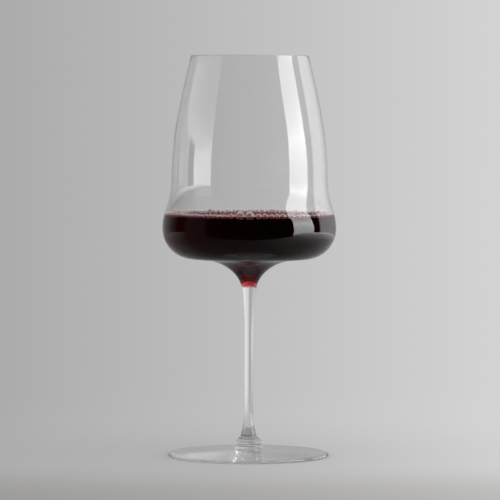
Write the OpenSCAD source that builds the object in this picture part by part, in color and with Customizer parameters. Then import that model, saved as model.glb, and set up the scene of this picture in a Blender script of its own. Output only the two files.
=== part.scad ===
// A large stemmed glass with a wide, flat-bottomed bowl, holding a serving of red wine.
// The glass is one turned solid: foot, ringed collar, stem and a thin bowl with a hollow
// funnel that runs down towards the stem. The wine is the solid that fills the bowl and the
// funnel up to its level. All sizes are in millimetres, Z points up, and the origin lies on
// the axis, at the flat underside of the foot.

/* [Foot] */
// Diameter of the foot
foot_d = 100; // [80:1:120]
// Thickness of the foot at its rounded edge
foot_edge_t = 1.8; // [1.2:0.1:2.6]
// Thickness of the foot where it meets the collar
foot_middle_t = 3.6; // [3:0.1:6]

/* [Collar] */
// Diameter over the collar's rings
collar_d = 17.8; // [15:0.1:24]
// Number of rings, the lowest one half sunk in the foot
ring_count = 3; // [2:1:5]
// Height of one ring
ring_pitch = 2.45; // [2:0.05:3.5]
// Depth of the groove between two rings
groove_depth = 0.7; // [0.3:0.05:0.9]
// Height of the sloping shoulder from the top ring up to the stem
collar_shoulder_h = 2.4; // [1:0.1:5]

/* [Stem] */
// Diameter of the stem at its slimmest
stem_d = 5.4; // [4.5:0.1:8]
// Diameter of the stem where it stands on the collar
stem_base_d = 10.2; // [8.5:0.1:12]
// Length of the stem, from the collar's shoulder to the underside of the bowl
stem_len = 111; // [90:0.1:140]
// Height over which the lower end of the stem narrows
base_taper_h = 16; // [10:0.5:25]
// Height over which the upper end of the stem widens to the throat
neck_h = 30.5; // [15:0.5:38]

/* [Funnel] */
// Outer diameter of the throat, where the funnel grows out of the stem
throat_d = 9.4; // [8:0.1:12]
// Height of the funnel, from the throat to the underside of the bowl
funnel_h = 17.5; // [12:0.1:24]
// Outer diameter at which the funnel runs into the flat underside of the bowl
funnel_d = 69; // [44:0.5:70]
// Wall of the funnel just above the throat
throat_wall = 1.5; // [1:0.1:2]
// Solid glass between the throat and the lowest ring of the hollow
hollow_floor = 0.3; // [0.2:0.1:2]
// Height of the middle of the hollow's bottom above that ring
hollow_rise = 1.4; // [0.2:0.1:2]

/* [Bowl] */
// Widest outer diameter of the bowl, at its belly
bowl_d = 108.7; // [105:0.1:125]
// Radius of the round between the belly and the flat underside
corner_r = 19.2; // [14:0.1:20]
// Outer diameter at the waist, where the wall above the belly stands upright
waist_d = 97.8; // [84:0.1:99]
// Height of the waist above the underside of the bowl
waist_h = 50; // [40:0.1:60]
// Outer diameter of the rim
rim_d = 73.8; // [60:0.1:83]
// Height of the bowl, from its underside to the rim
bowl_h = 126.9; // [100:0.1:150]
// Inward lean of the wall at the rim, in degrees
rim_lean = 13.5; // [0:0.1:20]
// Wall thickness at the rim
rim_wall = 0.9; // [0.6:0.1:1.4]
// Wall thickness at the belly and in the floor
bowl_wall = 1.1; // [0.8:0.1:1.8]

/* [Wine] */
// Depth of the wine above the flat floor of the bowl
wine_depth = 26.8; // [5:0.1:60]

/* [Hidden] */

// Facets of a full turn in the preview
turn_facets = 96;
// Straight steps along each curve of the outline, and along each small round
curve_steps = 14;
round_steps = 8;

// How far the handles of the foot's curve reach, as a share of its breadth
foot_pull = 0.3;
// How far each climbing curve's handles reach, as a share of the height that it climbs
base_pull = 0.28;
stem_pull = 0.4;
neck_pull = 0.2;
throat_pull = 0.26;
funnel_pull = 0.44;
belly_pull = 0.37;
waist_under_pull = 0.49;
waist_over_pull = 0.35;
rim_pull = 0.33;
// How far the funnel's upper handle reaches inwards, as a share of the funnel's breadth
funnel_share = 0.64;
// Outward lean of the throat, in degrees
throat_lean = 11;
// Where along the funnel its inner wall turns into the bottom of the hollow
hollow_turn = 0.15;
// Radius of the hollow's lowest ring, as a share of the throat's radius
hollow_share = 0.6;
// How far the handles of the round trough over that ring reach, as a share of its breadth
// and of its height
trough_pull = 0.55;

foot_edge_r = foot_edge_t / 2;
ring_r = collar_d / 2;
collar_z = foot_middle_t + (ring_count - 0.5) * ring_pitch;
stem_z = collar_z + collar_shoulder_h;
bowl_z = stem_z + stem_len;
throat_z = bowl_z - funnel_h;
hollow_z = throat_z + hollow_floor;
hollow_middle_z = hollow_z + hollow_rise;
belly_z = bowl_z + corner_r;
waist_z = bowl_z + waist_h;
lip_r = rim_wall / 2;
lip_z = bowl_z + bowl_h - lip_r * (1 - sin(rim_lean));
floor_z = bowl_z + bowl_wall;
wine_z = floor_z + wine_depth;
// The round of one ring bulges out of its grooves by the groove's depth
ring_round_r = (pow(ring_pitch / 2, 2) + pow(groove_depth, 2)) / (2 * groove_depth);
ring_round_a = asin(ring_pitch / 2 / ring_round_r);

// A point on a cubic curve p of four points, and the curve's direction there
function cubic(p, t) =
    pow(1 - t, 3) * p[0] + 3 * pow(1 - t, 2) * t * p[1]
    + 3 * (1 - t) * t * t * p[2] + pow(t, 3) * p[3];
function cubic_way(p, t) =
    pow(1 - t, 2) * (p[1] - p[0]) + 2 * (1 - t) * t * (p[2] - p[1])
    + t * t * (p[3] - p[2]);

// The curve as points, and the same curve set inwards by a wall that changes from wall_0 to
// wall_1 on the way. Every curve climbs, so inwards is to its left.
function along(p) = [for (i = [0 : curve_steps]) cubic(p, i / curve_steps)];
function inward(p, t, wall) =
    let (way = cubic_way(p, t))
    cubic(p, t) + wall * [-way.y, way.x] / norm(way);
function lining(p, wall_0, wall_1, start = 0) = [
    for (i = [0 : curve_steps])
        let (t = start + (1 - start) * i / curve_steps)
        inward(p, t, wall_0 + (wall_1 - wall_0) * t)
];

// Points on a circle from angle a_0 to angle a_1
function round_points(centre, r, a_0, a_1, steps = round_steps) = [
    for (i = [0 : steps])
        let (a = a_0 + (a_1 - a_0) * i / steps)
        centre + r * [cos(a), sin(a)]
];
function reversed(list) = [for (i = [len(list) - 1 : -1 : 0]) list[i]];

// The foot's top, from the collar out to the rounded edge
foot_top = [
    [ring_r, foot_middle_t],
    [ring_r + foot_pull * (foot_d / 2 - ring_r), (foot_middle_t + foot_edge_t) / 2],
    [foot_d / 2 - foot_pull * (foot_d / 2 - ring_r), foot_edge_t],
    [foot_d / 2 - foot_edge_r, foot_edge_t]
];

// The stem's two tapers, both climbing
base_taper = [
    [stem_base_d / 2, stem_z],
    [(stem_base_d + stem_d) / 4, stem_z + base_pull * base_taper_h],
    [stem_d / 2, stem_z + (1 - stem_pull) * base_taper_h],
    [stem_d / 2, stem_z + base_taper_h]
];
neck = [
    [stem_d / 2, throat_z - neck_h],
    [stem_d / 2, throat_z - (1 - neck_pull) * neck_h],
    [throat_d / 2 - throat_pull * neck_h * tan(throat_lean), throat_z - throat_pull * neck_h],
    [throat_d / 2, throat_z]
];

// The funnel's outside, from the throat out to the flat underside
funnel = [
    [throat_d / 2, throat_z],
    [throat_d / 2 + funnel_pull * funnel_h * tan(throat_lean), throat_z + funnel_pull * funnel_h],
    [throat_d / 2 + (1 - funnel_share) * (funnel_d - throat_d) / 2, bowl_z],
    [funnel_d / 2, bowl_z]
];

// The bowl's outside: the round corner, the belly up to the waist and the wall up to the rim
corner_centre = [bowl_d / 2 - corner_r, belly_z];
belly = [
    [bowl_d / 2, belly_z],
    [bowl_d / 2, belly_z + belly_pull * (waist_z - belly_z)],
    [waist_d / 2, waist_z - waist_under_pull * (waist_z - belly_z)],
    [waist_d / 2, waist_z]
];
wall = [
    [waist_d / 2, waist_z],
    [waist_d / 2, waist_z + waist_over_pull * (lip_z - waist_z)],
    [rim_d / 2 + rim_pull * (lip_z - waist_z) * tan(rim_lean), lip_z - rim_pull * (lip_z - waist_z)],
    [rim_d / 2, lip_z]
];

// The hollow's side: its bottom is raised in the middle, where the stem was drawn from it, and
// falls to a lowest ring. From there a round trough climbs to the funnel's inner wall, which
// starts a little above the throat.
funnel_lining = lining(funnel, throat_wall, bowl_wall, hollow_turn);
hollow_way = cubic_way(funnel, hollow_turn);
hollow_ring = [hollow_share * throat_d / 2, hollow_z];
trough = funnel_lining[0] - hollow_ring;
hollow_middle = [
    [0, hollow_middle_z],
    [hollow_ring.x / 2, hollow_middle_z],
    [hollow_ring.x / 2, hollow_z],
    hollow_ring
];
hollow_trough = [
    hollow_ring,
    hollow_ring + [trough_pull * trough.x, 0],
    funnel_lining[0] - trough_pull * trough.y * hollow_way / norm(hollow_way),
    funnel_lining[0]
];
hollow_side = concat(along(hollow_middle), along(hollow_trough), funnel_lining);
corner_side = round_points(corner_centre, corner_r - bowl_wall, -90, 0, curve_steps);
belly_side = lining(belly, bowl_wall, bowl_wall);
wall_side = lining(wall, bowl_wall, rim_wall);
bowl_side = concat(corner_side, belly_side, wall_side);

// The inside radius of the bowl at height z, anywhere above its flat floor
function bowl_side_r(z) = lookup(z, [for (p = bowl_side) [p.y, p.x]]);

// Turns an outline of [radius, height] points about the axis
module turned(outline) {
    rotate_extrude($fn = turn_facets)
        polygon(outline);
}

module foot() {
    turned(concat(
        [[0, foot_middle_t]],
        along(foot_top),
        round_points([foot_d / 2 - foot_edge_r, foot_edge_r], foot_edge_r, 90, -90),
        [[0, 0]]
    ));
}

// The lowest ring starts at its widest place, where it sinks into the foot
module collar() {
    turned(concat(
        [[0, foot_middle_t]],
        [for (ring = [0 : ring_count - 1])
            let (middle = [ring_r - ring_round_r, foot_middle_t + ring * ring_pitch])
            each round_points(middle, ring_round_r, ring == 0 ? 0 : -ring_round_a, ring_round_a)],
        [[stem_base_d / 2, stem_z], [0, stem_z]]
    ));
}

module stem() {
    turned(concat([[0, stem_z]], along(base_taper), along(neck), [[0, throat_z]]));
}

module bowl() {
    lip_out = cubic(wall, 1);
    lip_in = inward(wall, 1, rim_wall);
    turned(concat(
        [[0, throat_z]],
        along(funnel),
        round_points(corner_centre, corner_r, -90, 0, curve_steps),
        along(belly),
        along(wall),
        round_points((lip_out + lip_in) / 2, lip_r, rim_lean, rim_lean + 180),
        reversed(bowl_side),
        reversed(hollow_side)
    ));
}

module glass() {
    color([0.86, 0.89, 0.9, 0.4])
    union() {
        foot();
        collar();
        stem();
        bowl();
    }
}

module wine() {
    color([0.2, 0.02, 0.05])
    turned(concat(
        hollow_side,
        [for (p = bowl_side) if (p.y < wine_z) p],
        [[bowl_side_r(wine_z), wine_z], [0, wine_z]]
    ));
}

glass();
wine();
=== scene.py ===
# %% [markdown]
# # A glass of red wine
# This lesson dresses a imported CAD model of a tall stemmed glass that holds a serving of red
# wine. The CAD model gives the sizes: where the foot stands, how wide the bowl is and how high
# the wine reaches. Blender gives the looks: smooth crystal, dark wine and a ring of bubbles.
# Blender works in metres and the maker's sizes are in millimetres, so one function turns one
# into the other.

import math
import random

import bmesh
import bpy
from mathutils import Matrix, Vector


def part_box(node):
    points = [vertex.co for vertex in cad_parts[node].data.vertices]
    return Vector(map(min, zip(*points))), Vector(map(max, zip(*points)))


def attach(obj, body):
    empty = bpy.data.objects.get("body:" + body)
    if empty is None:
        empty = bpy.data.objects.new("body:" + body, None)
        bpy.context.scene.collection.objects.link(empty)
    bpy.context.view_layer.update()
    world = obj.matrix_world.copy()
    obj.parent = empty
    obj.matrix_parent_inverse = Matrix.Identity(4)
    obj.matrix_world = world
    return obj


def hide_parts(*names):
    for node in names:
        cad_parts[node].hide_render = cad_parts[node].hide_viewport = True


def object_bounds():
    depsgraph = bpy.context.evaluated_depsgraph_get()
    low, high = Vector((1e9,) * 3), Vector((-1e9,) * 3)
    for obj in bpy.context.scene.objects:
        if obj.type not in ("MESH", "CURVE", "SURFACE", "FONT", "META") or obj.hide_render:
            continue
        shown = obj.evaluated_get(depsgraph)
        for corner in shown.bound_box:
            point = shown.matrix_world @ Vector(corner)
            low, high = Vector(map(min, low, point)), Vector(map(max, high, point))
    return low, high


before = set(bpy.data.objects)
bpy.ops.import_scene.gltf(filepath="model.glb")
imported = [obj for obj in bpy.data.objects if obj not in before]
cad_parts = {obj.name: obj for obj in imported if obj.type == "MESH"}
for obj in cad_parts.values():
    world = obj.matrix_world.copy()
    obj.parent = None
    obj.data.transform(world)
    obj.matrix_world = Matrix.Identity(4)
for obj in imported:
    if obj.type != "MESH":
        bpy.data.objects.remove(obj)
cad_low, cad_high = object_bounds()
_, glass_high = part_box("glass")
_, wine_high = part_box("wine")


def mm(size):
    """A size in millimetres, in metres."""
    return size / 1000


print("CAD box, mm:", [round(v * 1000, 1) for v in (*cad_low, *cad_high)])

# %% [markdown]
# ## Small tools
# Colours are written as the hex values that a paint program shows. Shaders work in linear light,
# so one function turns them round. A second one adds a shader node, sets what it is told and
# joins its sockets, which keeps each material short enough to read at a glance. A third one
# clears the selection, because every operator works on all that is selected.

# %% Colour, node and selection helpers
def linear(hex_colour):
    """An sRGB hex colour as linear red, green, blue and full opacity."""
    values = [int(hex_colour[i:i + 2], 16) / 255 for i in (1, 3, 5)]
    return [v / 12.92 if v < 0.04045 else ((v + 0.055) / 1.055) ** 2.4 for v in values] + [1]


def add_node(tree, kind, settings=None, stops=(), **sockets):
    """Adds a node. settings are its properties, and sockets are values, or outputs or nodes to
    link. stops are a colour ramp's places from 0 to 1, each with a grey or a colour."""
    node = tree.nodes.new(kind)
    for name, value in (settings or {}).items():
        setattr(node, name, value)
    for name, value in sockets.items():
        key = int(name[1:]) if name[0] == "_" else name.replace("_", " ")
        value = value.outputs[0] if isinstance(value, bpy.types.Node) else value
        if isinstance(value, bpy.types.NodeSocket):
            tree.links.new(value, node.inputs[key])
        else:
            node.inputs[key].default_value = value
    for i, (place, value) in enumerate(stops):
        elements = node.color_ramp.elements
        element = elements[i] if i < 2 else elements.new(1)
        element.position = place
        element.color = value if hasattr(value, "__len__") else (value, value, value, 1)
    return node


def new_material(name):
    """An empty node material and its output node."""
    material = bpy.data.materials.new(name)
    material.use_nodes = True
    material.node_tree.nodes.clear()
    return material, add_node(material.node_tree, "ShaderNodeOutputMaterial")


def select_only(*pieces):
    """Selects these objects and nothing else, and makes the first one active."""
    bpy.ops.object.select_all(action="DESELECT")
    for piece in pieces:
        piece.select_set(True)
    bpy.context.view_layer.objects.active = pieces[0]


bpy.ops.object.select_all(action="DESELECT")
print("pale grey is", [round(v, 3) for v in linear("#BFBFBF")])

# %% [markdown]
# ## The camera
# A product view of stemware is taken from far away with a long lens, just above the table, so
# that the foot shows as a thin ellipse while the rim is seen edge on. The camera stands at a
# given height and looks a little down at the middle of the glass.

# %% Camera
CAMERA_DISTANCE = mm(2057)
CAMERA_HEIGHT = mm(219)
AIM_SIDE = mm(0.5)
AIM_HEIGHT = mm(128.75)
LENS = 237.2  # mm, on a 36 mm sensor
CAMERA_ROLL = math.radians(0.2)

bpy.ops.object.camera_add(location=(0, -CAMERA_DISTANCE, CAMERA_HEIGHT))
camera = bpy.context.object
camera.name = "long_lens_camera"
camera.data.lens = LENS
camera.data.sensor_width = 36
camera.data.clip_end = 20
aim = Vector((AIM_SIDE, 0, AIM_HEIGHT)) - camera.location
camera.rotation_euler = (aim.to_track_quat("-Z", "Y").to_matrix()
                         @ Matrix.Rotation(CAMERA_ROLL, 3, "Z")).to_euler()
bpy.context.scene.camera = camera
bpy.context.scene.view_settings.view_transform = "Standard"
print("camera tilt, degrees:", round(math.degrees(math.atan2(-aim.z, aim.y)), 2))

# %% [markdown]
# ## The studio
# Clear glass has no colour of its own. What the eye sees is the backdrop, seen through it, and
# the lights, mirrored in it. A studio for stemware therefore lights the backdrop and places a
# tall window at one side, and keeps the room behind the camera dark, so that the wine stays
# black and the glass gets one crisp highlight.
#
# The studio is painted on the world by compass bearing: 0 is behind the camera, 90 is to the
# right and 180 is the backdrop. Rays that have been mirrored see this studio. Rays that come
# straight from the camera, or straight through the glass, see a plain pale backdrop that gets a
# little lighter to the right.

# %% World
def bearing_place(degrees):
    """A compass bearing as a place on a ramp that runs from -180 to 180 degrees."""
    return degrees / 360 + 0.5


def height_place(degrees):
    """An angle above the horizon as a place on a ramp over the sine of that angle."""
    return math.sin(math.radians(degrees)) / 2 + 0.5


world = bpy.data.worlds.new("studio")
bpy.context.scene.world = world
world.use_nodes = True
world.cycles.sampling_method = "NONE"
studio = world.node_tree
studio.nodes.clear()

way = add_node(studio, "ShaderNodeTexCoord").outputs["Generated"]
axes = add_node(studio, "ShaderNodeSeparateXYZ", Vector=way)
towards_camera = add_node(studio, "ShaderNodeMath", {"operation": "MULTIPLY"},
                          _0=axes.outputs["Y"], _1=-1.0)
bearing = add_node(studio, "ShaderNodeMath", {"operation": "ARCTAN2"},
                   _0=axes.outputs["X"], _1=towards_camera)
around = add_node(studio, "ShaderNodeMapRange", {}, Value=bearing,
                  From_Min=-math.pi, From_Max=math.pi)
up = add_node(studio, "ShaderNodeMapRange", {}, Value=axes.outputs["Z"],
              From_Min=-1.0, From_Max=1.0)
print("a bearing of 90 degrees lies at", bearing_place(90), "of the ramp")

# %% [markdown]
# The walls of the studio are given as brightness by bearing, the window as a sheet between two
# leaning edges, with panes of different brightness above each other. A ramp can't hold more
# than 1, so the brightness is divided before it and multiplied after it.

# %% Walls and window
BRIGHTEST = 2.0
AROUND = (
    (-180, 0.45), (-160, 0.36), (-135, 0.2), (-123, 0.08), (-116, 0.05), (-112, 0.01),
    (-98, 0.01), (-94, 0.055), (-62, 0.055), (-58, 0.006), (96, 0.006), (108, 0.006),
    (110, 1.5), (123, 1.2), (140, 0.85), (155, 0.5), (180, 0.45),
)
WALL_BY_HEIGHT = ((-40, 0), (-30, 1), (55, 1), (70, 0.4))
walls = add_node(studio, "ShaderNodeValToRGB", Fac=around,
                 stops=[(bearing_place(a), v / BRIGHTEST) for a, v in AROUND])
wall_height = add_node(studio, "ShaderNodeValToRGB", Fac=up,
                       stops=[(height_place(a), v) for a, v in WALL_BY_HEIGHT])
walls_cut = add_node(studio, "ShaderNodeMath", {"operation": "MULTIPLY"}, _0=walls, _1=wall_height)
walls_lit = add_node(studio, "ShaderNodeMath", {"operation": "MULTIPLY"},
                     _0=walls_cut, _1=BRIGHTEST)

WINDOW_LEFT, WINDOW_LEFT_HIGH = 61, 55.5  # bearings of the left edge, low and high up
WINDOW_RIGHT, WINDOW_RIGHT_HIGH = 96, 91
LEFT_LEANS = (14, 28)  # between which heights, in degrees, the left edge leans over
RIGHT_LEANS = (5, 27)
WINDOW_SOFT = 0.8  # degrees over which an edge fades
left_edge = add_node(studio, "ShaderNodeMapRange", {}, Value=axes.outputs["Z"],
                     From_Min=math.sin(math.radians(LEFT_LEANS[0])),
                     From_Max=math.sin(math.radians(LEFT_LEANS[1])),
                     To_Min=math.radians(WINDOW_LEFT), To_Max=math.radians(WINDOW_LEFT_HIGH))
right_edge = add_node(studio, "ShaderNodeMapRange", {}, Value=axes.outputs["Z"],
                      From_Min=math.sin(math.radians(RIGHT_LEANS[0])),
                      From_Max=math.sin(math.radians(RIGHT_LEANS[1])),
                      To_Min=math.radians(WINDOW_RIGHT), To_Max=math.radians(WINDOW_RIGHT_HIGH))
past_left = add_node(studio, "ShaderNodeMath", {"operation": "SUBTRACT"}, _0=bearing, _1=left_edge)
past_right = add_node(studio, "ShaderNodeMath", {"operation": "SUBTRACT"},
                      _0=right_edge, _1=bearing)
from_left, from_right = [add_node(studio, "ShaderNodeMapRange", {}, Value=past, From_Min=0.0,
                                  From_Max=math.radians(WINDOW_SOFT))
                         for past in (past_left, past_right)]
BRIGHTEST_PANE = 6.0
PANES = ((-40, 0), (-34, 1.0), (-14, 1.4), (-8, 3.4), (0, 3.7), (6, 4.6), (10, 5.4), (14, 4.4),
         (19, 3.5), (29, 3.6), (33, 5.6), (36, 3.6), (55, 3.4), (62, 0))
panes = add_node(studio, "ShaderNodeValToRGB", Fac=up,
                 stops=[(height_place(a), v / BRIGHTEST_PANE) for a, v in PANES])
sheet = add_node(studio, "ShaderNodeMath", {"operation": "MULTIPLY"}, _0=from_left, _1=from_right)
window = add_node(studio, "ShaderNodeMath", {"operation": "MULTIPLY"}, _0=sheet, _1=panes)
window_lit = add_node(studio, "ShaderNodeMath", {"operation": "MULTIPLY_ADD"},
                      _0=window, _1=BRIGHTEST_PANE, _2=walls_lit)
CEILING = ((45, 0), (75, 0.3))
ceiling = add_node(studio, "ShaderNodeValToRGB", Fac=up,
                   stops=[(height_place(a), v) for a, v in CEILING])
all_round = add_node(studio, "ShaderNodeMath", {"operation": "ADD"}, _0=window_lit, _1=ceiling)
mirrored = add_node(studio, "ShaderNodeBackground", Color=all_round, Strength=1.0)
print("the window is", WINDOW_RIGHT - WINDOW_LEFT, "degrees wide")

# %% [markdown]
# Rays that matt things scatter find a soft light instead, a little stronger from the right. It
# stands for the same window through a large diffuser, and it renders without grain. Last comes
# the backdrop, seen straight.

# %% Soft light and backdrop
SOFT_LEFT, SOFT_RIGHT = 0.78, 1.32
soft_side = add_node(studio, "ShaderNodeMapRange", {}, Value=axes.outputs["X"], From_Min=-1.0,
                     From_Max=1.0, To_Min=SOFT_LEFT, To_Max=SOFT_RIGHT)
soft = add_node(studio, "ShaderNodeBackground", Color=(1, 1, 1, 1), Strength=soft_side)

ACROSS = 0.8  # the backdrop's tones are given for ways that lean so far to the left and right
across = add_node(studio, "ShaderNodeMapRange", {}, Value=axes.outputs["X"],
                  From_Min=-ACROSS, From_Max=ACROSS)
PALE = ((-0.7, "#C6C6C6"), (-0.3, "#B2B2B2"), (-0.1, "#A5A5A5"), (-0.076, "#ABABAB"),
        (0.0, "#BFBFBF"), (0.076, "#D3D3D3"), (0.1, "#D8D8D8"), (0.3, "#DEDEDE"), (0.7, "#F0F0F0"))
pale = add_node(studio, "ShaderNodeValToRGB", Fac=across,
                stops=[(x / (2 * ACROSS) + 0.5, linear(colour)) for x, colour in PALE])
straight = add_node(studio, "ShaderNodeBackground", Color=pale, Strength=1.0)

light_path = add_node(studio, "ShaderNodeLightPath")
was_mirrored = add_node(studio, "ShaderNodeMath", {"operation": "MINIMUM"},
                        _0=light_path.outputs["Glossy Depth"], _1=1.0)
was_scattered = add_node(studio, "ShaderNodeMath", {"operation": "MINIMUM"},
                         _0=light_path.outputs["Diffuse Depth"], _1=1.0)
clear_way = add_node(studio, "ShaderNodeMixShader", _0=was_mirrored, _1=straight, _2=mirrored)
seen = add_node(studio, "ShaderNodeMixShader", _0=was_scattered, _1=clear_way, _2=soft)
add_node(studio, "ShaderNodeOutputWorld", Surface=seen)

cycles = bpy.context.scene.cycles
INSIDE_GLASS = 96  # light runs along inside the thin foot from edge to edge
cycles.max_bounces = INSIDE_GLASS
cycles.transmission_bounces = INSIDE_GLASS
cycles.glossy_bounces = INSIDE_GLASS
cycles.transparent_max_bounces = 16
print("the studio has", len(studio.nodes), "nodes")

# %% [markdown]
# ## The table
# The glass stands on a pale matt table top. A round disc fades out towards its edge, so that
# the table runs into the backdrop without a line, as a paper sweep does. It lies a hair under
# the foot, because two faces at the same height would fight over which one is seen. Its colour
# carries painted light from the right and painted shade towards the front.

# %% Table top
TABLE_RADIUS = 1.2
TABLE_GAP = mm(0.15)
TABLE_FRONT = 0.25  # how far in front of the glass the lit part of the table ends
FRONT_SOFT = 0.01  # half the breadth over which it ends
FADE_FROM, FADE_TO = 0.12, 0.55  # distances from the glass between which the table fades away
PAINTED_LIGHT_REACH = 0.2  # half the breadth over which the table's painted light from the right is given
PAINTED_SHADE_FROM, PAINTED_SHADE_TO = -0.04, -0.27  # where the table's painted shade begins and stops getting darker, to the front
select_only(camera)
bpy.ops.mesh.primitive_circle_add(vertices=96, radius=TABLE_RADIUS, fill_type="NGON",
                                  location=(0, 0, 0))
table_top = bpy.context.object
table_top.name = "table_top"
table_top.data.transform(Matrix.Translation((0, 0, -TABLE_GAP)))

paper, paper_out = new_material("matt_paper_sweep")
tree = paper.node_tree
place = add_node(tree, "ShaderNodeTexCoord").outputs["Object"]
table_axes = add_node(tree, "ShaderNodeSeparateXYZ", Vector=place)
from_axis = add_node(tree, "ShaderNodeVectorMath", {"operation": "LENGTH"}, _0=place)
fade = add_node(tree, "ShaderNodeMapRange", {"interpolation_type": "SMOOTHSTEP"},
                Value=from_axis.outputs["Value"], From_Min=FADE_FROM, From_Max=FADE_TO)
sideways = add_node(tree, "ShaderNodeMapRange", {}, Value=table_axes.outputs["X"],
                    From_Min=-PAINTED_LIGHT_REACH, From_Max=PAINTED_LIGHT_REACH)
# Painted light: the table's colour is lighter to the right, towards the window, and darker to the
# left.
painted_side_light = add_node(tree, "ShaderNodeValToRGB", Fac=sideways,
                stops=[(0.0, linear("#A8A8A8")), (0.5, linear("#BDBDBD")),
                       (1.0, linear("#D3D3D3"))])
# Painted shade: towards the front the colour is multiplied by #D8D6D3, so the table gets darker
# there.
painted_front_shade = add_node(tree, "ShaderNodeMapRange", {"interpolation_type": "SMOOTHSTEP"},
                   Value=table_axes.outputs["Y"], From_Min=PAINTED_SHADE_FROM, From_Max=PAINTED_SHADE_TO)
painted_lit_colour = add_node(tree, "ShaderNodeMix", {"data_type": "RGBA", "blend_type": "MULTIPLY"},
                 _0=painted_front_shade, _6=painted_side_light, _7=linear("#D8D6D3"))
matt = add_node(tree, "ShaderNodeBsdfDiffuse", Color=painted_lit_colour.outputs[2])
clear = add_node(tree, "ShaderNodeBsdfTransparent")
faded = add_node(tree, "ShaderNodeMixShader", _0=fade, _1=matt, _2=clear)
print("table top radius, mm:", TABLE_RADIUS * 1000)

# %% [markdown]
# The bowl mirrors the table from above as a painted glow: painted shade of the wine, dim near
# the glass, a painted sheen brighter towards the window and towards the backdrop, and gone beyond its
# front edge.

# %% The table as the bowl mirrors it
REACH = 1.2  # half the breadth over which the mirrored tones are given, in metres
mirror_x = add_node(tree, "ShaderNodeMapRange", {}, Value=table_axes.outputs["X"],
                    From_Min=-REACH, From_Max=REACH)
mirror_y = add_node(tree, "ShaderNodeMapRange", {}, Value=table_axes.outputs["Y"],
                    From_Min=-REACH, From_Max=REACH)
MOST_SHEEN = 2.4
WINDOW_SHEEN = ((-0.05, 0.0), (0.06, 0.03), (0.13, 0.1), (0.2, 0.17), (0.31, 0.31),
                (0.37, 0.42), (0.5, 0.8), (0.62, 0.93), (0.95, 2.2), (1.2, 2.4))
window_sheen = add_node(tree, "ShaderNodeValToRGB", Fac=mirror_x,
                        stops=[(x / (2 * REACH) + 0.5, v / MOST_SHEEN) for x, v in WINDOW_SHEEN])
window_shone = add_node(tree, "ShaderNodeMath", {"operation": "MULTIPLY"},
                        _0=window_sheen, _1=MOST_SHEEN)
SHADE = ((-0.6, 0.06), (-0.3, 0.05), (-0.15, 0.065), (0.0, 0.07), (0.1, 0.07), (0.25, 0.045),
         (0.4, 0.015))
shade = add_node(tree, "ShaderNodeValToRGB", Fac=mirror_x,
                 stops=[(x / (2 * REACH) + 0.5, v) for x, v in SHADE])
MOST_BACK = 5.0
BACK_SHEEN = ((0.0, 1.0), (0.05, 1.7), (0.1, 2.3), (0.2, 3.2), (0.45, 5.0))
back_sheen = add_node(tree, "ShaderNodeValToRGB", Fac=mirror_y,
                      stops=[(y / (2 * REACH) + 0.5, v / MOST_BACK) for y, v in BACK_SHEEN])
shaded = add_node(tree, "ShaderNodeMath", {"operation": "MULTIPLY"}, _0=shade, _1=back_sheen)
painted_mirror_glow = add_node(tree, "ShaderNodeMath", {"operation": "MULTIPLY_ADD"},
                       _0=shaded, _1=MOST_BACK, _2=window_shone)

# %% The table as the foot mirrors it
# The foot stands on the table and finds it as bright as it is, through a painted glow of fixed
# brightness. Its rays have a short way to go, or were mirrored more than once inside it.
TABLE_BRIGHT = 0.36
TABLE_CLOSE = 0.2
SHORT_WAY, LONG_WAY = 0.085, 0.1  # ways that the foot's rays keep under and the bowl's go beyond
ray = add_node(tree, "ShaderNodeLightPath")
close_by = add_node(tree, "ShaderNodeMapRange", {}, Value=ray.outputs["Ray Length"],
                    From_Min=SHORT_WAY, From_Max=LONG_WAY, To_Min=TABLE_CLOSE, To_Max=0.0)
often = add_node(tree, "ShaderNodeMapRange", {}, Value=ray.outputs["Glossy Depth"],
                 From_Min=1.0, From_Max=2.0, To_Min=0.0, To_Max=TABLE_BRIGHT)
painted_foot_glow = add_node(tree, "ShaderNodeMath", {"operation": "MAXIMUM"}, _0=close_by, _1=often)
mirror_lit = add_node(tree, "ShaderNodeMath", {"operation": "MAXIMUM"},
                      _0=painted_mirror_glow, _1=painted_foot_glow)
# The mirrored table is an emission: painted light and painted shade that stand in for the lit table,
# not a lamp.
lit = add_node(tree, "ShaderNodeEmission", Color=(1, 1, 1, 1), Strength=mirror_lit)
beyond = add_node(tree, "ShaderNodeMapRange", {}, Value=table_axes.outputs["Y"],
                  From_Min=-TABLE_FRONT + FRONT_SOFT, From_Max=-TABLE_FRONT - FRONT_SOFT)
lit_to_edge = add_node(tree, "ShaderNodeMixShader", _0=beyond, _1=lit, _2=clear)
mirror_ray = add_node(tree, "ShaderNodeMath", {"operation": "MINIMUM"},
                      _0=ray.outputs["Glossy Depth"], _1=1.0)
either = add_node(tree, "ShaderNodeMixShader", _0=mirror_ray, _1=faded, _2=lit_to_edge)
tree.links.new(either.outputs[0], paper_out.inputs["Surface"])
table_top.data.materials.append(paper)
print("the table top's material has", len(tree.nodes), "nodes")

# %% [markdown]
# ## The glass: its outline
# A glass is a turned form: a glassblower keeps it spinning, so every part of it is round about
# one axis. The quickest true way to model it is the same: draw half of its outline as a smooth
# curve and spin it. The curve has only the points that the shape needs, each with handles, and
# the inner wall is the outer one set inwards by the thickness of the glass.
#
# Each piece of outline is a segment of four points: start, handle, handle, end, in millimetres
# from the axis and from the table.

# %% Outline tools
WELD = mm(0.002)  # points nearer than this are merged


def straight_line(start, end):
    """A straight segment."""
    start, end = Vector(start), Vector(end)
    return [start, start.lerp(end, 1 / 3), start.lerp(end, 2 / 3), end]


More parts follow.
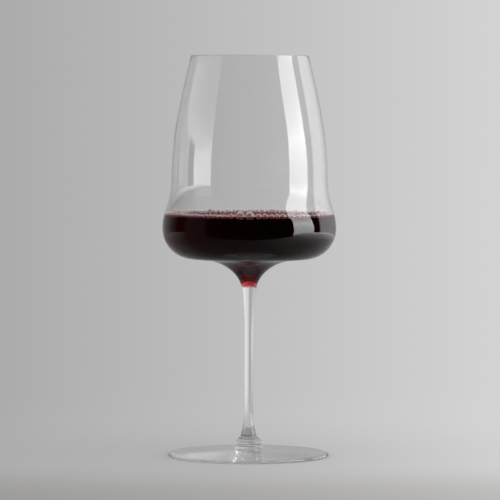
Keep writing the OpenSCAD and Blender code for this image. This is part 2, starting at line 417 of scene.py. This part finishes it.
def arc(centre, radius, start_deg, end_deg):
    """A round stretch, in segments of at most a quarter turn."""
    count = max(1, math.ceil(abs(end_deg - start_deg) / 90 - 1e-6))
    step = math.radians(end_deg - start_deg) / count
    reach = 4 / 3 * math.tan(step / 4) * radius
    segments = []
    for i in range(count):
        a, b = (math.radians(start_deg) + step * k for k in (i, i + 1))
        start = Vector(centre) + radius * Vector((math.cos(a), math.sin(a)))
        end = Vector(centre) + radius * Vector((math.cos(b), math.sin(b)))
        segments.append([start, start + reach * Vector((-math.sin(a), math.cos(a))),
                         end - reach * Vector((-math.sin(b), math.cos(b))), end])
    return segments


def split(segment, share):
    """The part of a segment after the given share of it."""
    a, b, c, d = segment
    ab, bc, cd = a.lerp(b, share), b.lerp(c, share), c.lerp(d, share)
    abc, bcd = ab.lerp(bc, share), bc.lerp(cd, share)
    return [abc.lerp(bcd, share), bcd, cd, d]


def set_in(segment, wall_start, wall_end):
    """A climbing segment, set inwards by a wall that changes from one end to the other."""
    a, b, c, d = segment
    way_a, way_d = (b - a).normalized(), (d - c).normalized()
    start = a + wall_start * Vector((-way_a.y, way_a.x))
    end = d + wall_end * Vector((-way_d.y, way_d.x))
    grow = (end - start).length / (d - a).length
    return [start, start + (b - a) * grow, end - (d - c) * grow, end]


def backwards(segments):
    """The same stretch of outline, walked the other way."""
    return [segment[::-1] for segment in reversed(segments)]


# %% [markdown]
# The outline is drawn with Blender's own curve tool, and becomes a mesh with so many points to
# each segment. Spin carries it round the axis. It leaves a seam where the last turn meets the
# first, and a heap of points on the axis, so doubles are merged before the normals are made to
# point outwards.

# %% Spin and measure
def turned(name, segments, smoothness, turns):
    """Draws the outline as a Bezier curve, makes it a mesh and spins it about the axis."""
    bpy.ops.object.select_all(action="DESELECT")
    bpy.ops.curve.primitive_bezier_curve_add(location=(0, 0, 0))
    outline = bpy.context.object
    outline.data.resolution_u = smoothness
    spline = outline.data.splines[0]
    spline.bezier_points.add(len(segments) + 1 - len(spline.bezier_points))
    ends = [segments[0][0]] + [s[3] for s in segments]
    after = [s[1] for s in segments] + [segments[-1][3]]
    before = [segments[0][0]] + [s[2] for s in segments]
    for point, at, left, right in zip(spline.bezier_points, ends, before, after):
        point.handle_left_type = point.handle_right_type = "FREE"
        point.co = (mm(at.x), 0, mm(at.y))
        point.handle_left = (mm(left.x), 0, mm(left.y))
        point.handle_right = (mm(right.x), 0, mm(right.y))
    bpy.ops.object.convert(target="MESH")
    piece = bpy.context.object
    piece.name = piece.data.name = name
    bpy.ops.object.mode_set(mode="EDIT")
    bpy.ops.mesh.select_all(action="SELECT")
    bpy.ops.mesh.spin(steps=turns, angle=2 * math.pi, center=(0, 0, 0), axis=(0, 0, 1))
    bpy.ops.mesh.select_all(action="SELECT")
    bpy.ops.mesh.remove_doubles(threshold=WELD)
    bpy.ops.mesh.normals_make_consistent(inside=False)
    bpy.ops.object.mode_set(mode="OBJECT")
    return piece


def report(piece):
    """Prints a piece's size, and counts the edges that don't join exactly two faces."""
    shape = bmesh.new()
    shape.from_mesh(piece.data)
    loose = sum(1 for edge in shape.edges if len(edge.link_faces) != 2)
    litres = shape.calc_volume() * 1000
    triangles = sum(len(face.verts) - 2 for face in shape.faces)
    shape.free()
    print(piece.name, [round(v * 1000, 2) for v in piece.dimensions], "mm,",
          round(litres, 4), "l,", triangles, "triangles,", loose, "open edges")


print("a quarter arc's handles:", [tuple(round(v, 3) for v in p) for p in arc((0, 0), 1, 0, 90)[0]])

# %% [markdown]
# ## The glass: foot, collar and stem
# A stemware foot is a flat disc, hardly thicker in the middle than at its rounded edge. Its
# underside is very slightly hollow, so the glass stands on the edge of its foot and not on its
# middle. Where the stem meets the foot, this glass has a collar of stacked rings. Above it the
# stem is drawn thin while the glass is hot, and widens softly at both ends.

# %% Foot, collar and stem sizes
FOOT_RADIUS = 50.0
FOOT_EDGE_T = 1.8
FOOT_MIDDLE_T = 3.6
FOOT_HOLLOW = 0.5
RING_RADIUS = 8.9
RING_PITCH = 2.45
RING_COUNT = 3
GROOVE = 0.7
SHOULDER_H = 2.4
STEM_RADIUS = 2.7
STEM_BASE_RADIUS = 5.1
STEM_LENGTH = 111.0
BASE_TAPER_H = 16.0
NECK_H = 30.5
THROAT_RADIUS = 4.7
FUNNEL_H = 17.5
THROAT_LEAN = math.radians(11)
# How far the handles of each stretch reach, as shares of its length
FOOT_PULL = 0.3
TAPER_PULLS = (0.28, 0.6)
NECK_PULLS = (0.2, 0.26)

edge_radius = FOOT_EDGE_T / 2
collar_z = FOOT_MIDDLE_T + (RING_COUNT - 0.5) * RING_PITCH
stem_z = collar_z + SHOULDER_H
bowl_z = stem_z + STEM_LENGTH
throat_z = bowl_z - FUNNEL_H
foot_breadth = FOOT_RADIUS - RING_RADIUS
print("bowl underside at", round(bowl_z, 3), "mm, throat at", round(throat_z, 3), "mm")

# %% [markdown]
# The stretches are drawn in the order in which the outline is walked: out along the underside,
# round the edge, back over the foot, up the rings and up the stem. Each ring is a shallow arc,
# and its radius comes from the pitch of the rings and the depth of the groove between them.

# %% Foot, collar and stem outline
underside = [[Vector((0, FOOT_HOLLOW)), Vector((FOOT_PULL * FOOT_RADIUS, FOOT_HOLLOW)),
              Vector(((1 - FOOT_PULL) * FOOT_RADIUS, 0)), Vector((FOOT_RADIUS - edge_radius, 0))]]
foot_edge = arc((FOOT_RADIUS - edge_radius, edge_radius), edge_radius, -90, 90)
foot_top = [[Vector((FOOT_RADIUS - edge_radius, FOOT_EDGE_T)),
             Vector((FOOT_RADIUS - FOOT_PULL * foot_breadth, FOOT_EDGE_T)),
             Vector((RING_RADIUS + FOOT_PULL * foot_breadth, (FOOT_EDGE_T + FOOT_MIDDLE_T) / 2)),
             Vector((RING_RADIUS, FOOT_MIDDLE_T))]]
ring_round = ((RING_PITCH / 2) ** 2 + GROOVE ** 2) / (2 * GROOVE)
ring_half_angle = math.degrees(math.asin(RING_PITCH / 2 / ring_round))
rings = []
for ring in range(RING_COUNT):
    middle = (RING_RADIUS - ring_round, FOOT_MIDDLE_T + ring * RING_PITCH)
    rings += arc(middle, ring_round, 0 if ring == 0 else -ring_half_angle, ring_half_angle)
shoulder = [straight_line(rings[-1][3], (STEM_BASE_RADIUS, stem_z))]
base_taper = [[Vector((STEM_BASE_RADIUS, stem_z)),
               Vector(((STEM_BASE_RADIUS + STEM_RADIUS) / 2, stem_z + TAPER_PULLS[0] * BASE_TAPER_H)),
               Vector((STEM_RADIUS, stem_z + TAPER_PULLS[1] * BASE_TAPER_H)),
               Vector((STEM_RADIUS, stem_z + BASE_TAPER_H))]]
neck_low = Vector((STEM_RADIUS, throat_z - NECK_H))
neck_reach = NECK_PULLS[1] * NECK_H
stem = [straight_line(base_taper[0][3], neck_low)]
neck = [[neck_low, neck_low + Vector((0, NECK_PULLS[0] * NECK_H)),
         Vector((THROAT_RADIUS - neck_reach * math.tan(THROAT_LEAN), throat_z - neck_reach)),
         Vector((THROAT_RADIUS, throat_z))]]
print("rings of radius", round(ring_round, 2), "mm, stem from", round(stem_z, 2), "mm")

# %% [markdown]
# ## The glass: bowl
# The bowl is blown thin: about 1.1 mm at the belly and 0.9 mm at the fire-polished lip. Its
# floor is flat, with a round corner up to the belly, and a hollow funnel in the middle runs down
# to the stem. The lip leans in, which keeps the aroma in the bowl.

# %% Bowl sizes
FUNNEL_RADIUS = 34.5
HOLLOW_START = 0.15  # the share of the funnel, from the throat up, where its lining begins
HOLLOW_WALL = 1.5
HOLLOW_FLOOR = 0.3  # glass over the throat at the lowest ring of the hollow
HOLLOW_RISE = 1.4  # how much higher its middle is
BOWL_RADIUS = cad_high.x * 1000
CORNER_RADIUS = 19.2
WAIST_RADIUS = 48.9
WAIST_H = 50.0
RIM_RADIUS = 36.9
RIM_LEAN = math.radians(13.5)
RIM_WALL = 0.9
BOWL_WALL = 1.1
# How far the handles of each stretch reach, as shares of its length
FUNNEL_PULLS = (0.44, 0.36)
BELLY_PULLS = (0.37, 0.49)
WALL_PULLS = (0.35, 0.33)
TROUGH_PULL = 0.55
RING_SHARE = 0.6  # the ring's radius as a share of the throat's

lip_radius = RIM_WALL / 2
lip_z = glass_high.z * 1000 - lip_radius * (1 - math.sin(RIM_LEAN))
belly_z = bowl_z + CORNER_RADIUS
waist_z = bowl_z + WAIST_H
belly_climb, wall_climb = waist_z - belly_z, lip_z - waist_z
corner_centre = (BOWL_RADIUS - CORNER_RADIUS, belly_z)
print("belly from", round(belly_z, 2), "mm, waist at", round(waist_z, 2), "mm")

# %% [markdown]
# The outside is walked from the throat to the lip. The inside is the same line, set in by the
# wall, but for the bottom of the hollow, which has a shape of its own. The wine needs the inside
# again, a hair nearer the outside, so the inside is a function of how much thinner the wall is.

# %% Bowl outline
funnel = [Vector((THROAT_RADIUS, throat_z)),
          Vector((THROAT_RADIUS + FUNNEL_PULLS[0] * FUNNEL_H * math.tan(THROAT_LEAN),
                  throat_z + FUNNEL_PULLS[0] * FUNNEL_H)),
          Vector((THROAT_RADIUS + FUNNEL_PULLS[1] * (FUNNEL_RADIUS - THROAT_RADIUS), bowl_z)),
          Vector((FUNNEL_RADIUS, bowl_z))]
belly = [Vector((BOWL_RADIUS, belly_z)),
         Vector((BOWL_RADIUS, belly_z + BELLY_PULLS[0] * belly_climb)),
         Vector((WAIST_RADIUS, waist_z - BELLY_PULLS[1] * belly_climb)),
         Vector((WAIST_RADIUS, waist_z))]
wall = [Vector((WAIST_RADIUS, waist_z)),
        Vector((WAIST_RADIUS, waist_z + WALL_PULLS[0] * wall_climb)),
        Vector((RIM_RADIUS + WALL_PULLS[1] * wall_climb * math.tan(RIM_LEAN),
                lip_z - WALL_PULLS[1] * wall_climb)),
        Vector((RIM_RADIUS, lip_z))]
outside = ([funnel, straight_line(funnel[3], (corner_centre[0], bowl_z))]
           + arc(corner_centre, CORNER_RADIUS, -90, 0) + [belly, wall])


def lining(thinner=0.0):
    """The inside of the bowl from the axis up to the lip, with its wall made thinner by so much."""
    floor_wall = BOWL_WALL - thinner
    funnel_side = set_in(split(funnel, HOLLOW_START), HOLLOW_WALL - thinner, floor_wall)
    # The bottom is raised in the middle, where the stem was drawn from it, and falls to a ring
    ring = Vector((RING_SHARE * THROAT_RADIUS, throat_z + HOLLOW_FLOOR - thinner))
    raised = ring.y + HOLLOW_RISE
    middle = [Vector((0, raised)), Vector((ring.x / 2, raised)), Vector((ring.x / 2, ring.y)), ring]
    climb = funnel_side[0] - ring
    down = (funnel_side[0] - funnel_side[1]).normalized()
    trough = [ring, ring + Vector((TROUGH_PULL * climb.x, 0)),
              funnel_side[0] + TROUGH_PULL * climb.y * down, funnel_side[0]]
    return ([middle, trough, funnel_side,
             straight_line(funnel_side[3], (corner_centre[0], bowl_z + floor_wall))]
            + arc(corner_centre, CORNER_RADIUS - floor_wall, -90, 0)
            + [set_in(belly, floor_wall, floor_wall), set_in(wall, floor_wall, RIM_WALL - thinner)])

# %% Spin the glass
TURNS = 160
GLASS_SMOOTH, WINE_SMOOTH = 12, 16  # points to each segment of outline

inside = lining()
lean = math.degrees(RIM_LEAN)
lip = arc(wall[3].lerp(inside[-1][3], 0.5), lip_radius, lean, lean + 180)

crystal_glass = turned(
    "crystal_glass",
    underside + foot_edge + foot_top + rings + shoulder + base_taper + stem + neck
    + outside + lip + backwards(inside),
    smoothness=GLASS_SMOOTH, turns=TURNS)
select_only(crystal_glass)
bpy.ops.object.shade_smooth_by_angle(angle=math.radians(32))
report(crystal_glass)

# %% [markdown]
# ## The wine
# The wine takes its shape from the glass. It is turned from the same inner outline, set a hair
# into the wall: if the two surfaces only touched, a film of air would show between them. It is
# cut level at the filling height, and the last few millimetres climb the wall, because wine
# wets glass. That climb, the meniscus, is made by extruding the cut edge inwards ring by ring.

# %% Wine body
INTO_WALL = 0.12
MENISCUS_H = 1.2
MENISCUS_REACH = 1.5
MENISCUS_BREADTH = 5 * MENISCUS_REACH
MENISCUS_RINGS = 7

wine_top = wine_high.z * 1000
red_wine = turned("red_wine", lining(INTO_WALL)[:-1], smoothness=WINE_SMOOTH, turns=TURNS)
bpy.ops.object.mode_set(mode="EDIT")
bpy.ops.mesh.select_all(action="SELECT")
bpy.ops.mesh.bisect(plane_co=(0, 0, mm(wine_top)), plane_no=(0, 0, 1), clear_outer=True)
bpy.ops.mesh.select_all(action="DESELECT")
bpy.ops.mesh.select_mode(type="EDGE")
bpy.ops.mesh.select_non_manifold(extend=False)
wall_radius = max(Vector(v.co[:2]).length for v in bmesh.from_edit_mesh(red_wine.data).verts
                  if v.co.z > mm(wine_top - 0.01)) * 1000
radius, level = wall_radius, wine_top
for i in range(1, MENISCUS_RINGS + 1):
    step_in = INTO_WALL + MENISCUS_BREADTH * (i / MENISCUS_RINGS) ** 2
    new_radius = wall_radius - step_in
    new_level = wine_top - MENISCUS_H * (1 - math.exp(-(step_in - INTO_WALL) / MENISCUS_REACH))
    bpy.ops.mesh.extrude_region_move()
    bpy.ops.transform.resize(value=(new_radius / radius, new_radius / radius, 1),
                             center_override=(0, 0, 0))
    bpy.ops.transform.translate(value=(0, 0, mm(new_level - level)))
    radius, level = new_radius, new_level
bpy.ops.mesh.edge_face_add()
bpy.ops.mesh.select_all(action="SELECT")
bpy.ops.mesh.normals_make_consistent(inside=False)
bpy.ops.object.mode_set(mode="OBJECT")
select_only(red_wine)
bpy.ops.object.shade_smooth_by_angle(angle=math.radians(50))
report(red_wine)
print("wine meets the wall at radius", round(wall_radius, 2), "mm; level", round(level, 2), "mm")

# %% [markdown]
# ## The bubbles
# Freshly poured red wine carries a ring of bubbles along the wall, where they gather because the
# meniscus lifts them. Each is a ball of thin wet film that stands well out of the wine. The
# widest are as big as a pea, most are two or three millimetres wide, and on one side they drift
# together into a raft.
#
# One bubble of each kind is modelled: a ball, its foot bisected away and its skin given a
# thickness. Copies are then dropped where there is room, largest first, as real bubbles crowd
# each other, and are joined into one piece for each kind.

# %% One bubble of each kind
BUBBLE_KINDS = {
    # name: (rings and segments of the ball, film thickness as a share of the radius)
    "large_bubbles": (14, 24, 0.05),
    "middle_bubbles": (8, 12, 0.08),
    "small_bubbles": (6, 8, 0.1),
}
RAISED = 0.5  # how high a ball's middle stands over the wine, as a share of its radius
SUNK = 0.75  # how far below its middle a ball is cut open, as a share of its radius


def dome(name, rings, segments, film):
    """A hollow ball of radius 1 m, cut open at its foot, to be scaled down."""
    bpy.ops.object.select_all(action="DESELECT")
    bpy.ops.mesh.primitive_uv_sphere_add(segments=segments, ring_count=rings, radius=1)
    skin = bpy.context.object
    skin.name = name
    bpy.ops.object.mode_set(mode="EDIT")
    bpy.ops.mesh.select_all(action="SELECT")
    bpy.ops.mesh.bisect(plane_co=(0, 0, -SUNK), plane_no=(0, 0, -1), clear_outer=True)
    bpy.ops.object.mode_set(mode="OBJECT")
    thick = skin.modifiers.new("film", "SOLIDIFY")
    thick.thickness = film
    thick.offset = -1
    bpy.ops.object.modifier_apply(modifier="film")
    return skin


domes = {name: dome(name, *shape) for name, shape in BUBBLE_KINDS.items()}
for piece in domes.values():
    report(piece)

# %% [markdown]
# The wall is walked by bearing, 0 at the front and 90 at the right. The first row hugs the wall
# all the way round. Then bubbles are dropped at random within each stretch's breadth of foam,
# and only those that find room stay.

# %% Crowd the bubbles along the wall
luck = random.Random(7)
LARGE, MIDDLE = 1.55, 0.85  # the smallest radius of each kind, in mm
ROW_CLOSENESS, CLOSENESS = 0.9, 0.95  # how near two bubbles' middles may come, by their radii
ROW_STEP = 0.55  # steps along the wall, as a share of the last bubble's radius
ROW_GAP = 0.25  # the most a bubble of the row stands off the wall, in mm
CROWD_TO_WALL = 1.5  # how much the foam thickens towards the wall
SMALLEST, CROWD_SHARE = 0.6, 0.95  # radii in the foam: from so many mm to a share of the row's
ring_reach = wall_radius - INTO_WALL
placed = []  # (x, y, radius) in mm
kinds = {name: [] for name in domes}

# Stretches of the ring: from and to which bearing, radii of the row at the wall, breadth of the
# foam inside it, and how many places are tried there
STRETCHES = (
    (-180, -118, (1.0, 1.6), 3.0, 300),
    (-118, -62, (1.3, 1.7), 7.0, 300),
    (-62, -10, (1.2, 1.6), 8.0, 500),
    (-10, 34, (1.2, 1.7), 3.0, 200),
    (34, 70, (1.1, 1.6), 4.0, 300),
    (70, 112, (1.0, 1.5), 4.0, 300),
    (112, 180, (1.0, 1.7), 3.0, 300),
)


def drop(degrees, from_wall, radius, closeness=CLOSENESS):
    """Puts one bubble at a bearing and a distance from the wall in mm, if there is room."""
    reach = ring_reach - radius - from_wall
    x, y = reach * math.sin(math.radians(degrees)), -reach * math.cos(math.radians(degrees))
    if all(math.hypot(x - there[0], y - there[1]) >= closeness * (radius + there[2])
           for there in placed):
        placed.append((x, y, radius))
        kind = ("large" if radius > LARGE else "middle" if radius > MIDDLE else "small")
        kinds[kind + "_bubbles"].append((x, y, radius))

# %% Drop the bubbles
# The widest bubbles first, by bearing and radius: a few at the front, others further round
WIDEST = ((-6.6, 2.7), (0.4, 2.8), (6.4, 1.8), (11.0, 1.9), (15.4, 1.6), (19.6, 1.7), (23.9, 1.8),
          (-12.6, 1.8), (118, 1.9), (163, 1.9), (-150, 2.0))
for degrees, radius in WIDEST:
    drop(degrees, 0, radius)
for start, end, (least, most), *_ in STRETCHES:
    degrees = start
    while degrees < end:
        radius = luck.uniform(least, most)
        drop(degrees, luck.uniform(0, ROW_GAP), radius, ROW_CLOSENESS)
        degrees += math.degrees(ROW_STEP * radius / ring_reach)
for start, end, (_, most), breadth, tries in STRETCHES:
    for _ in range(tries):
        drop(luck.uniform(start, end), breadth * luck.random() ** CROWD_TO_WALL,
             luck.uniform(SMALLEST, CROWD_SHARE * most))
print("bubbles:", {name: len(spots) for name, spots in kinds.items()})


# %% Join each kind into one piece
def surface_height(x, y):
    """Height of the wine's surface in mm, with its climb at the wall."""
    from_wall = wall_radius - INTO_WALL - math.hypot(x, y)
    return wine_top - MENISCUS_H * (1 - math.exp(-max(from_wall, 0) / MENISCUS_REACH))


for name, skin in domes.items():
    copies = []
    for x, y, radius in kinds[name]:
        copy = skin.copy()
        copy.data = skin.data.copy()
        height = surface_height(x, y) + RAISED * radius
        copy.data.transform(Matrix.Translation((mm(x), mm(y), mm(height)))
                            @ Matrix.Rotation(luck.uniform(0, math.tau), 4, "Z")
                            @ Matrix.Scale(mm(radius), 4))
        bpy.context.scene.collection.objects.link(copy)
        copies.append(copy)
    bpy.data.objects.remove(skin)
    select_only(*copies)
    bpy.ops.object.join()
    domes[name] = bpy.context.object
    domes[name].name = domes[name].data.name = name
    bpy.ops.object.shade_smooth()
    report(domes[name])

# %% [markdown]
# ## Finish: blown crystal
# Lead-free crystal, blown and fire-polished: perfectly smooth, and a little brighter than window
# glass, because it bends light more. Nothing blown by mouth or mould is quite even, so the
# surface has a faint long wave that makes the edges of reflections waver.

# %% Crystal
CRYSTAL_WAVE_MM = 22.0
CRYSTAL_WAVE_LONG = 0.35  # the wave is drawn out up the glass, the way it was blown
CRYSTAL_WAVE_DEEP = mm(0.06)
WET_MIRROR = (0.5, 0.5, 0.5, 1)  # what is left of the mirror image where wine wets the glass
crystal, crystal_out = new_material("blown_crystal")
tree = crystal.node_tree
place = add_node(tree, "ShaderNodeTexCoord").outputs["Object"]
stretched = add_node(tree, "ShaderNodeMapping", Vector=place, Scale=(1, 1, CRYSTAL_WAVE_LONG))
wave = add_node(tree, "ShaderNodeTexNoise", Vector=stretched.outputs[0],
                Scale=1000 / CRYSTAL_WAVE_MM, Detail=1.0)
waver = add_node(tree, "ShaderNodeBump", Height=wave.outputs[0], Strength=0.5,
                 Distance=CRYSTAL_WAVE_DEEP)
crystal_shader = add_node(tree, "ShaderNodeBsdfPrincipled", Base_Color=(1, 1, 1, 1), Roughness=0.0,
                          IOR=1.51, Transmission_Weight=1.0, Normal=waver.outputs[0])
tree.links.new(crystal_shader.outputs[0], crystal_out.inputs["Surface"])
crystal_glass.data.materials.append(crystal)

# Where wine lies against the glass, the two bend light almost alike, so less is mirrored there.
# The same crystal, with half of its mirror image, covers the faces that the wine wets. Real wine
# takes more away, but the half keeps the window's patch on the dark wine as bright as it looks.
wetted = crystal.copy()
wetted.name = "blown_crystal_wetted"
wetted.node_tree.nodes["Principled BSDF"].inputs["Specular Tint"].default_value = WET_MIRROR
crystal_glass.data.materials.append(wetted)
WET_REACH = mm(2 * INTO_WALL)
wet_faces = 0
for face in crystal_glass.data.polygons:
    _, nearest, _, _ = red_wine.closest_point_on_mesh(face.center)
    if (nearest - face.center).length < WET_REACH and face.center.z < mm(wine_top):
        face.material_index = 1
        wet_faces += 1
print("wetted faces:", wet_faces)
print("crystal wave, mm:", CRYSTAL_WAVE_MM)

# %% [markdown]
# ## Finish: red wine
# Young red wine lets red through and swallows green and blue, so its colour depends on its
# depth: pink in a film, ruby in the funnel, black in the bowl. That is what absorption does, and
# it is set as a plain volume: how much light of each colour is lost in a millimetre.

# %% Wine
LOST_PER_MM = (0.053, 0.36, 0.33)  # share of red, green and blue light lost in 1 mm
wine, wine_out = new_material("young_red_wine")
tree = wine.node_tree
LOST_SCALE = 1.02  # keeps the darkest channel of the absorption colour just above zero
density = max(LOST_PER_MM) * LOST_SCALE * 1000
wine_shader = add_node(tree, "ShaderNodeBsdfPrincipled", Base_Color=(1, 1, 1, 1), Roughness=0.0,
                       IOR=1.34, Specular_Tint=(0, 0, 0, 1), Transmission_Weight=1.0)
depth = add_node(tree, "ShaderNodeVolumeAbsorption", Density=density,
                 Color=[1 - 1000 * lost / density for lost in LOST_PER_MM] + [1])
tree.links.new(wine_shader.outputs[0], wine_out.inputs["Surface"])
tree.links.new(depth.outputs[0], wine_out.inputs["Volume"])
red_wine.data.materials.append(wine)
print("wine absorption, per metre:", round(density, 1))

# %% [markdown]
# ## Finish: bubble film
# The film of a bubble is wine drawn out thin, held by a trace of sugar and protein: clear, very
# glossy and faintly pink. Its outline is a painted highlight: edge on, the film turns a pale, nearly
# opaque pink that stands in for the light real films catch at their edges, while its middle stays
# clear.

# %% Bubble film
CLEAR_FACING, PAINTED_RIM_FACING = 0.12, 0.5  # from facing straight on to turned away
CLEAREST, PAINTED_RIM_CLEARNESS = 0.93, 0.05
film, film_out = new_material("wet_wine_film")
tree = film.node_tree
facing = add_node(tree, "ShaderNodeLayerWeight", Blend=0.5).outputs["Facing"]
see_through = add_node(tree, "ShaderNodeMapRange", {"interpolation_type": "SMOOTHSTEP"},
                       Value=facing, From_Min=CLEAR_FACING, From_Max=PAINTED_RIM_FACING,
                       To_Min=CLEAREST, To_Max=PAINTED_RIM_CLEARNESS)
# Painted highlight: the pale pink base colour shows at the rim, where the film is made nearly opaque.
film_shader = add_node(tree, "ShaderNodeBsdfPrincipled", Base_Color=linear("#F3DCDE"),
                       Roughness=0.05, IOR=1.34, Transmission_Weight=see_through)
tree.links.new(film_shader.outputs[0], film_out.inputs["Surface"])
for piece in domes.values():
    piece.data.materials.append(film)
print("film on", len(domes), "pieces")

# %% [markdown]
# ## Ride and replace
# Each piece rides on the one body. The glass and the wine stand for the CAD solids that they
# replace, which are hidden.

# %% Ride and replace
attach(crystal_glass, "root")
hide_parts("glass")
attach(red_wine, "root")
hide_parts("wine")
for piece in domes.values():
    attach(piece, "root")
